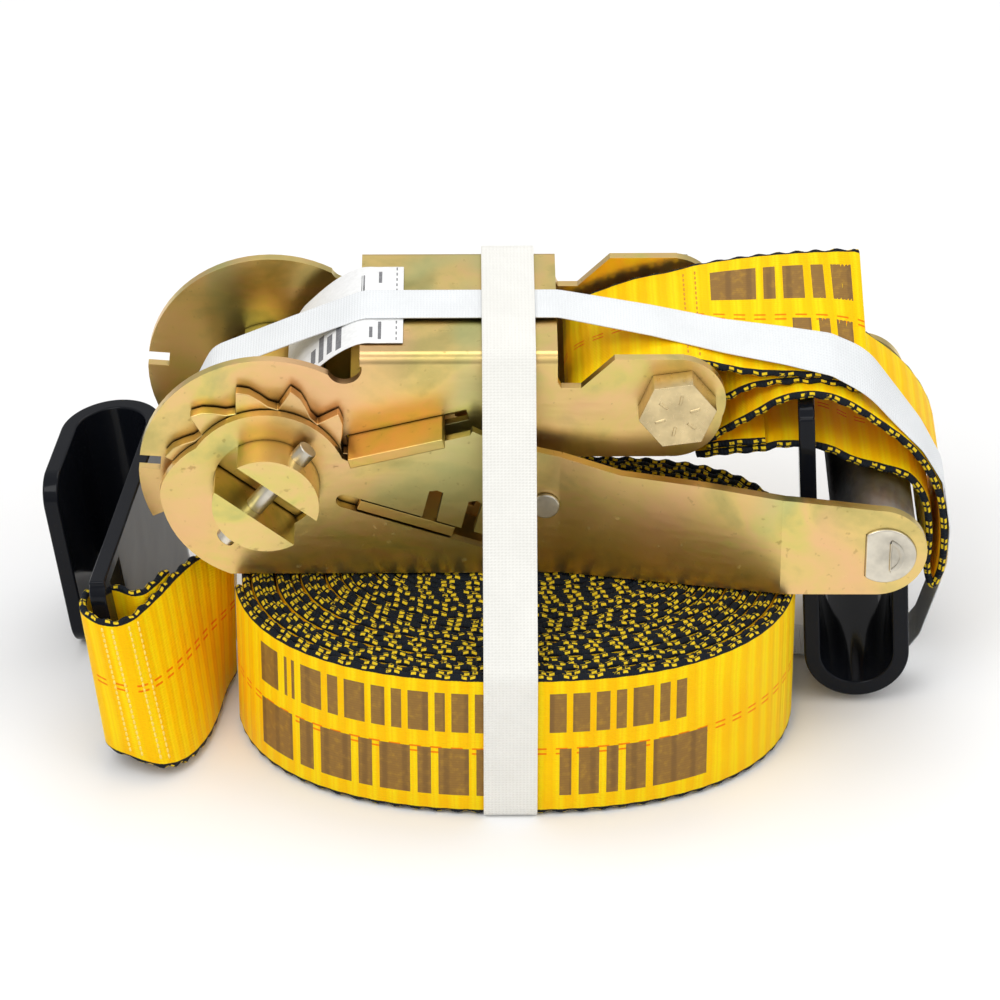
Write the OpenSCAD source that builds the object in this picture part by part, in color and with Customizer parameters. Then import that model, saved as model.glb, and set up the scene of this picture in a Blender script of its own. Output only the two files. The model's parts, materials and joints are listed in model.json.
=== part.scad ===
// Ratchet tie down, bundled for storage: a coil of webbing on edge, the ratchet buckle closed on top
// of it, a flat hook at each end of the webbing and two paper bands round the bundle.
// Millimetres, +Z up, the handle points along +X and the spool turns about a line along Y.

/* [Webbing] */
// Width of the webbing
strap_w = 50.8; // [46:0.2:51.2]
// Thickness of the webbing
strap_t = 2.3; // [1.8:0.1:2.4]
// Length of the coil, along X
coil_len = 171.6; // [165:0.5:172]
// Depth of the coil, along Y
coil_depth = 124; // [118:0.5:125]

/* [Ratchet] */
// Thickness of the handle and frame plates
plate_t = 3; // [2.5:0.1:3]
// Outside width of the frame
frame_w = 62; // [61:0.5:62]
// Outside width of the handle at the spool
handle_w = 78; // [77.6:0.2:79]
// How far each handle plate flares out towards the grip
flare = 12; // [6:0.5:12]
// Radius of the bores that the spool turns in
pivot_r = 16; // [16:0.1:16.4]
// Radial clearance of the spool in its bores
spool_gap = 0.08; // [0.05:0.01:0.1]
// Width of the slot between the two spool halves
slot_w = 11; // [9:0.5:12]
// Outside diameter of the grip tube
grip_d = 25; // [22:0.5:25]
// Radius over the tips of the ratchet teeth
tooth_r = 31.3; // [30.5:0.1:31.4]

/* [Flat hooks] */
// Width of a hook
hook_w = 62; // [60:0.5:63]
// Thickness of a hook, with its coating
hook_t = 5; // [4:0.1:5.2]
// Outside width of the bent end
hook_bend_w = 32; // [29:0.5:32]
// Length of a hook from bar to bend
hook_len = 103; // [98:0.5:103.5]

/* [Bands] */
// Width of the paper bands
band_w = 16; // [12:0.5:17]
// Thickness of the paper bands
band_t = 0.6; // [0.4:0.1:0.7]

/* [Hidden] */
$fn = 64;

// The coil's centre, which puts the bundle's box over the origin, and the spool's axis from there
coil_at = [6.7, -10.5, 0];
spool_at = coil_at + [-75, 32, 83];

// Half-widths across the ratchet, from its middle plane
frame_y = frame_w / 2;
handle_y = handle_w / 2;
wheel_y = frame_y + 0.5;
wheel_t = handle_y - plate_t - frame_y - 1;
spool_y = handle_y + 12;
wide_y = handle_y + flare;

// The grip, and the two places where the handle plates bend
grip_at = [182.5, -17.4];
grip_end_r = 15;
bend_from = 88;
bend_to = 154;
flare_a = atan(flare / (bend_to - bend_from));
handle_low = -32;

// Twelve teeth; tooth_a is the angle of one tip
teeth = 12;
tooth_a = 16;
root_r = 24.5;

// Radius of the frame's cam discs, which press a groove in the coil's upper edges
disc_r = 38.5;

// The pawls slide along straight slots
pawl_t = 3.3;
lock_at = [25.2, 9];
lock_a = 14.1;
lock_len = 29.2;
lock_body = 42;
lock_travel = 6.8;
slide_gap = 0.2;
drive_at = [22.9, -5.9];
drive_a = -19.3;
drive_slot = 48;
drive_slot_r = 2.3;
drive_rest = 4.8;

bolt_at = [122.5, 23.8];
bolt_r = 6;
sleeve_r = 8.5;
web_top = 39.8;

// Height of the long band under the bundle, above the wide one
under_z = 1.1;

// Both hooks are drawn with the bar along Y at the origin, the leg down and the bend towards +X
hook_bar = 8;
hook_slot = [12, 54];
hook_r = (hook_bend_w - hook_t) / 2;
left_bar = coil_at + [-120.8, -29, 33.6];
left_lean = 8;
left_turn = 8.8;
right_bar = coil_at + [87.2, 27, 101.2];
right_turn = -2;
right_lean = -3;

function unit(v) = v / norm(v);
function polar(r, a) = [r * cos(a), r * sin(a)];

// A point a share f of the way from b to c on the smooth curve through a, b, c and d
function curve(a, b, c, d, f) =
    b + f * ((c - a) / 2 + f * (a - 2.5 * b + 2 * c - d / 2 + f * (1.5 * (b - c) + (d - a) / 2)));

// A list of points made finer along a smooth curve, with that many steps for each of its own
function fine(p, steps, closed = false) =
    let (n = len(p), last = closed ? n - 1 : n - 2)
    let (at = function(i) closed ? p[(i + n) % n] : p[max(0, min(n - 1, i))])
    concat(
        [for (i = [0:last]) for (k = [0:steps - 1]) curve(at(i - 1), at(i), at(i + 1), at(i + 2), k / steps)],
        closed ? [] : [p[n - 1]]);

// A strip of thickness t between two edges, each a list of points
module strip(one, two, t, closed = false) {
    n = len(one);
    mid = (one + two) / 2;
    function next(i) = closed ? (i + 1) % n : min(n - 1, i + 1);
    function back(i) = closed ? (i + n - 1) % n : max(0, i - 1);
    corners = [for (i = [0:n - 1])
        let (out = unit(cross(mid[next(i)] - mid[back(i)], two[i] - one[i])) * t / 2)
        each [one[i] + out, two[i] + out, two[i] - out, one[i] - out]];
    walls = [for (i = [0:closed ? n - 1 : n - 2]) for (k = [0:3])
        let (a = 4 * i + k, b = 4 * i + (k + 1) % 4)
        let (c = 4 * next(i) + (k + 1) % 4, d = 4 * next(i) + k)
        each [[a, b, c], [a, c, d]]];
    ends = closed ? [] : [[3, 2, 1], [3, 1, 0],
        [4 * n - 4, 4 * n - 3, 4 * n - 2], [4 * n - 4, 4 * n - 2, 4 * n - 1]];
    polyhedron(corners, concat(walls, ends));
}

// A strip that follows [x, z] points and is w wide along Y, centred on y
module flat_strip(path, y, w, t, closed = false) {
    strip([for (p = path) [p.x, y - w / 2, p.y]], [for (p = path) [p.x, y + w / 2, p.y]], t, closed);
}

// A helical spring along +X from the origin
module spring(r, wire, length, turns) {
    steps = 14 * turns;
    sides = 6;
    ring = [for (i = [0:steps]) for (k = [0:sides - 1])
        let (a = 360 * turns * i / steps, s = r + wire * cos(360 * k / sides))
        [wire + (length - 2 * wire) * i / steps + wire * sin(360 * k / sides), s * cos(a), s * sin(a)]];
    walls = [for (i = [0:steps - 1]) for (k = [0:sides - 1])
        let (a = sides * i + k, b = sides * i + (k + 1) % sides)
        each [[a, a + sides, b + sides], [a, b + sides, b]]];
    polyhedron(ring, concat(walls, [[for (k = [0:sides - 1]) k]],
        [[for (k = [sides - 1:-1:0]) sides * steps + k]]));
}

// Places the ratchet's own frame: the spool's axis is along Y, in the middle plane
module ratchet() {
    translate(spool_at) children();
}

// Extrudes an outline in X and Z from y to y + t
module plate(y, t) {
    translate([0, y + t, 0]) rotate([90, 0, 0]) linear_extrude(t) children();
}

// Draws on the near side, or with side = 1 on the far side
module on_side(side) {
    if (side < 0) children();
    else mirror([0, 1, 0]) children();
}

// A slot outline along +X with round ends, from the origin
module round_slot(length, r) {
    circle(r);
    translate([length, 0]) circle(r);
    translate([0, -r]) square([length, 2 * r]);
}

module webbing_coil() {
    outline = [for (a = [0:5:355]) let (power = a < 90 ? 3.4 : 2.35) [
        coil_len / 2 * sign(cos(a)) * pow(abs(cos(a)), 2 / power),
        coil_depth / 2 * sign(sin(a)) * pow(abs(sin(a)), 2 / power)]];
    color("gold") translate(coil_at) difference() {
        linear_extrude(strap_w) polygon(outline);
        translate([-11, -coil_depth, -1]) cube([band_w + 1, 2 * coil_depth, band_t + 1.2]);
        translate([-coil_len, 29 - band_w / 2 - 0.5, -1])
            cube([2 * coil_len, band_w + 1, under_z + band_t / 2 + 1.2]);
        translate(spool_at - coil_at + [0, -frame_y + plate_t + 0.8, 0]) rotate([90, 0, 0])
            cylinder(r = disc_r + 0.6, h = plate_t + 1.6);
    }
}

// The bottom and top edges of the webbing from the coil round the left hook's bar and back
tail_low = [[-87.6, 12, 0.8], [-90.3, 2, 0.8], [-92.3, -12, 0.9], [-95.3, -25, 1.3], [-100.4, -36, 2.3],
    [-107.2, -41.5, 4], [-115.4, -40.4, 6.6], [-123, -34.6, 7.7], [-122.6, -25.6, 7.7],
    [-115.2, -21.6, 7.7], [-108.2, -23, 7.2], [-102.2, -28, 6.8]];
tail_high = [[-87.6, 13, 50.2], [-91, 9.4, 50.2], [-97.8, 4.2, 50.2], [-103.4, -6, 51.2], [-109.2, -20, 52.5],
    [-115.6, -34.2, 54.5], [-123, -38, 56.5], [-130.2, -32, 57.5], [-129.8, -23.6, 57.5],
    [-122.7, -21.2, 57.5], [-115.2, -20, 57], [-108.2, -14, 56]];

module webbing_tail() {
    color("orange") translate(coil_at)
        strip(fine(tail_low, 3), fine(tail_high, 3), strap_t);
}

// A flat hook with its bar at the origin
module flat_hook() {
    leg = hook_len - hook_bar / 2 - hook_bend_w / 2;
    tip = 32;
    difference() {
        union() {
            translate([-hook_t / 2, -hook_w / 2, -leg]) cube([hook_t, hook_w, leg + hook_bar / 2 - 2]);
            translate([-hook_t / 2, -hook_w / 2 + 6, -leg]) cube([hook_t, hook_w - 12, leg + hook_bar / 2]);
            for (s = [-1, 1]) translate([-hook_t / 2, s * (hook_w / 2 - 6), hook_bar / 2 - 6])
                rotate([0, 90, 0]) cylinder(r = 6, h = hook_t);
            translate([hook_r, 0, -leg]) difference() {
                translate([0, hook_w / 2, 0]) rotate([90, 0, 0]) cylinder(r = hook_r + hook_t / 2, h = hook_w);
                translate([0, hook_w, 0]) rotate([90, 0, 0])
                    cylinder(r = hook_r - hook_t / 2, h = 2 * hook_w);
                translate([-hook_w, -hook_w, 0]) cube(2 * hook_w);
            }
            translate([2 * hook_r - hook_t / 2, -hook_w / 2, -leg]) cube([hook_t, hook_w, tip - 9]);
            translate([2 * hook_r - hook_t / 2, -hook_w / 2 + 9, -leg]) cube([hook_t, hook_w - 18, tip]);
            for (s = [-1, 1]) translate([2 * hook_r - hook_t / 2, s * (hook_w / 2 - 9), tip - 9 - leg])
                rotate([0, 90, 0]) cylinder(r = 9, h = hook_t);
        }
        translate([-hook_t, -hook_slot.y / 2, -hook_bar / 2 - hook_slot.x])
            cube([2 * hook_t, hook_slot.y, hook_slot.x]);
    }
}

module left_hook() {
    color([0.1, 0.1, 0.1]) translate(left_bar) rotate([0, -left_lean, 0]) rotate([0, 0, -left_turn])
        rotate([0, 180, 0]) rotate([90, 0, 0]) flat_hook();
}

module right_hook() {
    color([0.1, 0.1, 0.1]) translate(right_bar) rotate([0, right_lean, right_turn]) flat_hook();
}

// The handle's outline from the spool to the bend: a low arc above, a lobe that lifts the lock pawl
module handle_head() {
    arc = [for (a = [22:6:250]) polar(a < 148 ? root_r : a < 182 ? root_r + (a - 148) / 34 * 7.5
        : root_r + 7.5 + (a - 182) / 68 * 2, a)];
    difference() {
        polygon(concat(arc, [[-11.6, handle_low], [bend_from + 0.3, handle_low], [bend_from + 0.3, 9.3],
            [81.6, 11], [64, 17.3], [61.6, 18.6], [60.9, 17.2], [24.7, 8.1]]));
        circle(pivot_r);
        translate(drive_at) rotate(drive_a) round_slot(drive_slot, drive_slot_r);
        polygon([[45.8, -14], [50.4, -15], [52.8, -3.2], [51, -2.3], [48.6, -2.6]]);
        polygon([[57.6, -18], [61.4, -19], [64.4, -7.4], [63, -6], [60.4, -6.4]]);
        translate([83.4, -7.4]) circle(3.2);
    }
}

// The stretch that slants outwards; u runs along the slope
module handle_slope() {
    function u(x) = (x - bend_from) / cos(flare_a);
    polygon([[0, handle_low], [u(bend_to), handle_low], [u(bend_to), 1.3], [u(129.9), 3.5],
        [u(105.7), 4.8], [0, 9.3]]);
}

module handle_tail() {
    difference() {
        union() {
            polygon([[bend_to - 0.3, handle_low - 0.2], [grip_at.x, handle_low - 0.4],
                [grip_at.x, grip_at.y + grip_end_r], [157, 1], [bend_to - 0.3, 1.3]]);
            translate(grip_at) circle(grip_end_r);
        }
        grip_end(0.05);
    }
}

// The D shaped end of the grip, with a clearance
module grip_end(gap) {
    translate([184.8, -18.2]) difference() {
        circle(9.5 + gap);
        translate([-20 - 5.9 - gap, -15]) square([20, 30]);
    }
}

module handle_plate(side) {
    on_side(side) {
        plate(-handle_y, plate_t) handle_head();
        translate([bend_from, -handle_y, 0]) rotate([0, 0, -flare_a]) plate(0, plate_t) handle_slope();
        plate(-wide_y, plate_t) handle_tail();
    }
}

module handle_plate_near() {
    color("darkgoldenrod") ratchet() handle_plate(-1);
}

module handle_plate_far() {
    color("darkgoldenrod") ratchet() handle_plate(1);
}

// The cross wall of the handle, with the tab that the drive pawl's spring pushes on
module handle_web() {
    inside = handle_w - 2 * plate_t;
    color("goldenrod") ratchet() {
        translate([40, -inside / 2, handle_low + 0.5]) cube([48, inside, plate_t]);
        translate([85, -9, handle_low + 0.5]) cube([plate_t, 18, 13]);
    }
}

module handle_spacer() {
    head = 1.6;
    color("silver") ratchet() translate([83.4, 0, -7.4]) rotate([90, 0, 0]) {
        translate([0, 0, -handle_y - head]) cylinder(r = 4.2, h = head);
        translate([0, 0, -handle_y]) cylinder(r = 3.15, h = handle_w);
        translate([0, 0, handle_y]) cylinder(r = 4.2, h = head);
        translate([0, 0, -handle_y + plate_t + 0.1]) cylinder(r = 5, h = handle_w - 2 * plate_t - 0.2);
    }
}

module handle_grip() {
    inside = 2 * (wide_y - plate_t);
    color("silver") ratchet() translate([grip_at.x, inside / 2, grip_at.y]) rotate([90, 0, 0])
        difference() {
            cylinder(r = grip_d / 2, h = inside);
            translate([0, 0, -1]) cylinder(r = grip_d / 2 - 1.8, h = inside + 2);
        }
}

module grip_plugs() {
    color("silver") ratchet() for (side = [-1, 1]) on_side(side)
        plate(-wide_y - 1, plate_t + 0.9) grip_end(0);
}

// The drive pawl is drawn in the handle's slot; its nose stands clear of the teeth while closed
module drive_pawl() {
    inside = handle_w - 2 * plate_t - 0.6;
    nose = [[31.7, -3.6], [31.3, -6.3], [35, -9.2], [46, -12.2], [46, -9.4]];
    color("peru") ratchet() {
        translate([drive_at.x, 0, drive_at.y]) rotate([0, -drive_a, 0]) {
            for (y = [-handle_y + 0.2, handle_y - plate_t]) translate([drive_rest, y, -pawl_t / 2])
                cube([30, plate_t - 0.2, pawl_t]);
            translate([drive_rest + 7.9, -handle_y + 2, -pawl_t / 2]) cube([22.1, handle_w - 4, pawl_t]);
            translate([drive_rest + 30, -24, -pawl_t / 2]) cube([8, 48, pawl_t]);
            translate([drive_rest + 38 - 2, -24, pawl_t / 2]) cube([2, 48, 6]);
        }
        plate(-inside / 2, inside) polygon(nose);
    }
}

module drive_pawl_spring() {
    from = drive_rest + 38.2;
    color("gray") ratchet() translate([drive_at.x, 0, drive_at.y]) rotate([0, -drive_a, 0])
        translate([from, 0, 1.4]) spring(2.6, 0.45, 63.4 - from, 7);
}

// The frame's side plate: a cam disc at the spool and an arm that ends at the bolt
module frame_side() {
    disc = [for (a = [20:5:205]) polar(disc_r, a)];
    difference() {
        union() {
            circle(root_r - 0.2);
            polygon(concat([[0, 0], [30, 6]], disc, [[0, 0]]));
            polygon([[20, 2], [34, 1.6], [60, 2], [95, 4.4], [bolt_at.x - 3, 4.4], [bolt_at.x + 2, 38.5],
                [103.9, 38.5], [94, 28.6], [88, 28.6], [87, 30.9], [87, web_top - 3.4],
                [28.2, web_top - 3.4], [20, 31]]);
            translate(bolt_at) circle(14.7);
            translate([121.2, 19.4]) circle(15);
        }
        circle(pivot_r);
        translate([23.6, 35.6]) circle(5.2);
        translate([23.6, 35.6]) square([4.6, 6]);
        translate(polar(35, 175)) rotate(175) translate([-3, -2.3]) square([10, 4.6]);
        translate(bolt_at) circle(bolt_r);
        translate(lock_at) rotate(lock_a) translate([-0.7, -slide_gap])
            square([lock_len + lock_travel + 1.2, pawl_t + 2 * slide_gap]);
    }
}

module frame() {
    bend_r = 3.4;
    color("goldenrod") ratchet() {
        for (side = [-1, 1]) on_side(side) {
            plate(-frame_y, plate_t) frame_side();
            // the bend between side and web
            translate([28.2, -frame_y + bend_r, web_top - bend_r]) rotate([0, 90, 0]) intersection() {
                difference() {
                    cylinder(r = bend_r, h = 58.8);
                    translate([0, 0, -1]) cylinder(r = bend_r - plate_t, h = 61);
                }
                translate([-2 * bend_r, -2 * bend_r, -1]) cube([2 * bend_r, 2 * bend_r, 61]);
            }
        }
        translate([28.2, -frame_y + bend_r, web_top - plate_t]) cube([58.8, frame_w - 2 * bend_r, plate_t]);
        translate([84, -8, web_top - 20]) cube([plate_t, 16, 19]);
    }
}

module frame_bolt() {
    head = 8;
    color("silver") ratchet() translate([bolt_at.x, 0, bolt_at.y]) rotate([90, 0, 0]) {
        translate([0, 0, frame_y + 0.1]) rotate(8) intersection() {
            cylinder(r = 11.7, h = head, $fn = 6);
            cylinder(r1 = 24, r2 = 9.9, h = head + 2.6);
        }
        translate([0, 0, -frame_y - 10]) cylinder(r = bolt_r - 0.08, h = frame_w + 10.5);
        for (k = [0:5]) translate([0, 0, frame_y + head]) rotate(60 * k + 20)
            translate([4, -0.4, 0]) cube([3, 0.8, 0.4]);
    }
}

module bolt_nut() {
    color("silver") ratchet() translate([bolt_at.x, frame_y + 0.1, bolt_at.y]) rotate([-90, 0, 0])
        difference() {
            cylinder(r = 11, h = 8, $fn = 6);
            translate([0, 0, -1]) cylinder(r = bolt_r, h = 10);
        }
}

module bolt_sleeve() {
    inside = frame_w - 2 * plate_t - 0.4;
    color("silver") ratchet() translate([bolt_at.x, inside / 2, bolt_at.y]) rotate([90, 0, 0])
        difference() {
            cylinder(r = sleeve_r, h = inside);
            translate([0, 0, -1]) cylinder(r = bolt_r + 0.02, h = inside + 2);
        }
}

// The lock pawl crosses both frame plates, both wheels and the handle's recess
module lock_pawl() {
    tab_y = handle_y + 5.5;
    body_y = frame_y - plate_t - 1.5;
    color("peru") ratchet() translate([lock_at.x, 0, lock_at.y]) rotate([0, -lock_a, 0]) {
        translate([0, -tab_y, 0]) cube([lock_len, 2 * tab_y, pawl_t]);
        translate([lock_len, -body_y, 0]) cube([lock_body - lock_len, 2 * body_y, pawl_t]);
        translate([lock_body - 2, -body_y, -5]) cube([2, 2 * body_y, 5]);
    }
}

module lock_pawl_spring() {
    color("gray") ratchet() translate([lock_at.x, 0, lock_at.y]) rotate([0, -lock_a, 0])
        translate([lock_body + 0.2, 0, pawl_t / 2]) spring(2.6, 0.45, 16, 7);
}

// The two half rounds that grip the webbing; the slot between them slants down to the right
slot_a = -39;

module spool_half(up) {
    color("burlywood") ratchet() difference() {
        plate(-spool_y, 2 * spool_y) intersection() {
            circle(pivot_r - spool_gap);
            rotate(slot_a) translate([-20, up > 0 ? slot_w / 2 : -20 - slot_w / 2]) square([40, 20]);
        }
        spool_pin_at() cylinder(r = 3.02, h = 60, center = true);
    }
}

module spool_pin_at() {
    for (y = [-1, 1]) translate([0, y * (handle_y + 5), 0]) rotate([0, -slot_a, 0]) children();
}

module spool_half_upper() {
    spool_half(1);
}

module spool_half_lower() {
    spool_half(-1);
}

module spool_pins() {
    color("silver") ratchet() spool_pin_at() cylinder(r = 3, h = 41, center = true);
}

// A wheel with steep flanks on the counter-clockwise side, and a bar between the spool halves
module ratchet_wheel(side) {
    pitch = 360 / teeth;
    outline = [for (k = [0:teeth - 1]) let (a = tooth_a + pitch * k) each [polar(tooth_r, a),
        polar(root_r, a + 5), polar(root_r + 0.8, a + 12), polar(root_r + 3, a + 17.5),
        polar(root_r + 5.3, a + 23), polar(tooth_r - 0.4, a + 28)]];
    color("gold") ratchet() on_side(side) plate(-wheel_y - wheel_t, wheel_t) difference() {
        polygon(outline);
        difference() {
            circle(pivot_r);
            rotate(slot_a) translate([-20, -slot_w / 2 + 0.1]) square([40, slot_w - 0.2]);
        }
    }
}

module ratchet_wheel_near() {
    ratchet_wheel(-1);
}

module ratchet_wheel_far() {
    ratchet_wheel(1);
}

// The short strap from the bolt: both layers leave the sleeve together and fold back at the right
module strap_eye() {
    turns = [[131, 13.6], [122.5, 12.4], [108, 9.6], [97.5, 9.8], [91.6, 13.4], [90.4, 19], [93.6, 24.4],
        [102, 28.6], [112, 32.4], [122.5, 34.8]];
    inner = spool_at.y - strap_w / 2;
    out_low = [[131, 32.6, 4], [144.8, 29.6, 4], [159.3, 28.8, 4], [170.2, 27, 5], [178.6, 22.6, 7]];
    out_high = [[131, 37, 4], [146, 40.4, 3], [159, 43, 1], [168, 45.4, -2], [177, 48.2, -6]];
    low = concat([for (p = turns) [p.x, inner, p.y]], [for (p = out_low) [p.x, inner + p.z - 4, p.y]]);
    high = concat([for (p = turns) [p.x, inner + strap_w, p.y]],
        [for (p = out_high) [p.x, inner + strap_w + p.z - 4, p.y]]);
    place = [spool_at.x, 0, spool_at.z];
    color("gold") translate(place) strip(fine(low, 2), fine(high, 2), strap_t);
}

// The strap's outer end, round the right hook's bar and over the grip
module strap_loop() {
    over = [[64, 97], [71, 101], [79, 106.4], [88, 108], [97, 105.6], [108, 98], [119, 88], [126.6, 75],
        [129.4, 60], [129.2, 46], [126.8, 39.6], [124.8, 46], [125, 58], [123.2, 70], [118, 78.6],
        [110, 82], [101, 84.8], [92, 89.4], [80, 91], [68, 89.6], [60, 88.6]];
    path = [for (p = over) [coil_at.x + p.x, p.y]];
    color("gold") flat_strip(fine(path, 2), coil_at.y + 27, strap_w, strap_t);
}

// The wide band goes round the whole bundle crosswise
module wide_band() {
    x = coil_at.x - 10.5 + band_w / 2;
    front = -coil_depth / 2 - 0.8;
    low = band_t / 2;
    web_z = spool_at.z + web_top + 2.2;
    path = [[front, low], [front, 25], [front, 50.5], [-30, 88.8], [-0.6, web_z - 1.9], [3, web_z],
        [32, web_z + 0.2], [61, web_z], [64.8, web_z - 2], [69.6, 112], [73.4, 99], [73.4, 75], [73.4, 49],
        [-front + 0.2, 38], [-front, 20],
        [-front, low], [30, low], [0, low], [-30, low]];
    one = [for (p = path) [x - band_w / 2, coil_at.y + p.x, p.y]];
    two = [for (p = path) [x + band_w / 2, coil_at.y + p.x, p.y]];
    color("whitesmoke") strip(two, one, band_t, true);
}

// The long band goes round the whole bundle lengthwise; each point has the slope across the band
module long_band() {
    web_z = spool_at.z + web_top + 1.3;
    path = [[-87, 29, under_z, 0], [-87.4, 29, 30, 0], [-90.5, 29, 55, 0], [-98, 29, 92, 0],
        [-92, 29, 104.5, 0], [-68, 29, 115, 0], [-46, 29, web_z, 0], [-10, 29, web_z, 0],
        [12.5, 29, web_z, 0], [40, 24, 121.2, 4], [62, 19, 118.6, 8], [80, 15, 117.8, 14],
        [94, 13, 116, 22], [105, 12, 111, 30], [113, 12, 99.4, 20], [122, 10.5, 88.6, 6], [128.8, 10, 76, 0],
        [131.2, 10, 60, 0], [131, 12, 46, 0], [129, 14, 36, 0], [124.5, 18, 16, 0], [117, 22, under_z, 0],
        [100, 26, under_z, 0], [88, 29, under_z, 0], [0, 29, under_z, 0]];
    half = [for (p = path) [0, cos(p[3]), sin(p[3])] * band_w / 2];
    mid = [for (p = path) coil_at + [p.x, p.y, p.z]];
    color("whitesmoke") strip(mid - half, mid + half, band_t, true);
}

module tag() {
    path = [[6, 19], [12, 27.5], [20, 35.6], [27.5, web_top + 0.1], [34, web_top + 0.5], [41, web_top + 0.5]];
    color("white") ratchet() flat_strip(fine(path, 2), -2, 44, 0.4);
}

webbing_coil();
webbing_tail();
left_hook();
handle_plate_near();
handle_plate_far();
handle_web();
handle_spacer();
handle_grip();
grip_plugs();
drive_pawl();
drive_pawl_spring();
frame();
frame_bolt();
bolt_nut();
bolt_sleeve();
lock_pawl();
lock_pawl_spring();
spool_half_upper();
spool_half_lower();
ratchet_wheel_near();
ratchet_wheel_far();
spool_pins();
strap_eye();
strap_loop();
right_hook();
wide_band();
long_band();
tag();
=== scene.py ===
import json
import math

import bmesh
import bpy
import numpy as np
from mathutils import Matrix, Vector


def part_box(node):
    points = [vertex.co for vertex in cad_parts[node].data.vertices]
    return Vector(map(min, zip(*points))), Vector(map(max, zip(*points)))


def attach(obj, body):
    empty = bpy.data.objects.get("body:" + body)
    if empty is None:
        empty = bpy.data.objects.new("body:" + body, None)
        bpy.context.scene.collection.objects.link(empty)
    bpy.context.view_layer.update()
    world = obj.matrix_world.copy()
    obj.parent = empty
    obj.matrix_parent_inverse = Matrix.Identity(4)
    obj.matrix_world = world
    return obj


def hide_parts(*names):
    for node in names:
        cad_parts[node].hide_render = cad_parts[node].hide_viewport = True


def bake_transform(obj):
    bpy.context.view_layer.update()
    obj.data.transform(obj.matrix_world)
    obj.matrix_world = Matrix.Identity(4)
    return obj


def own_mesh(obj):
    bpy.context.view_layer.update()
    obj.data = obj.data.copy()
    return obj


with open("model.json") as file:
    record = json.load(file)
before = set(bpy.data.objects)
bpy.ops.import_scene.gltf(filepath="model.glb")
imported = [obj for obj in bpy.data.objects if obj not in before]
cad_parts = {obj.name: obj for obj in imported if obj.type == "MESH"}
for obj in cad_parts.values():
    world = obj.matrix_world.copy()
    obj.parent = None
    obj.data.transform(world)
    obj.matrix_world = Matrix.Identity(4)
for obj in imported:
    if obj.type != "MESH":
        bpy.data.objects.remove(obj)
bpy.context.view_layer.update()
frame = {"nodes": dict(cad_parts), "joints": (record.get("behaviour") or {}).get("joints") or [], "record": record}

MM = 0.001
JOINTS = {j["name"]: j for j in frame["joints"]}

# ---------------------------------------------------------------- places, in millimetres
coil_low, coil_high = (np.array(c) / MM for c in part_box("webbing_coil"))
COIL = np.array([(coil_low[0] + coil_high[0]) / 2, (coil_low[1] + coil_high[1]) / 2, 0.0])
COIL_A, COIL_B = (coil_high[0] - coil_low[0]) / 2, (coil_high[1] - coil_low[1]) / 2
SPOOL = np.array(JOINTS["frame_swing"]["pos_m"]) / MM
STRAP_W = 50.8  # webbing
STRAP_T = 2.2
RIB = 6.2  # from one cross rib of the webbing to the next
WARP = 0.85  # from one lengthwise thread to the next
DASH = 2.5  # from one yellow fleck of a selvedge to the next
SCALLOP = 0.42  # how far the ribs push the webbing's edges in and out
STEP = 1.04  # from one point of a modelled path to the next
BAND_W = 16.0  # both bands
BAND_T = 0.5


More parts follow.
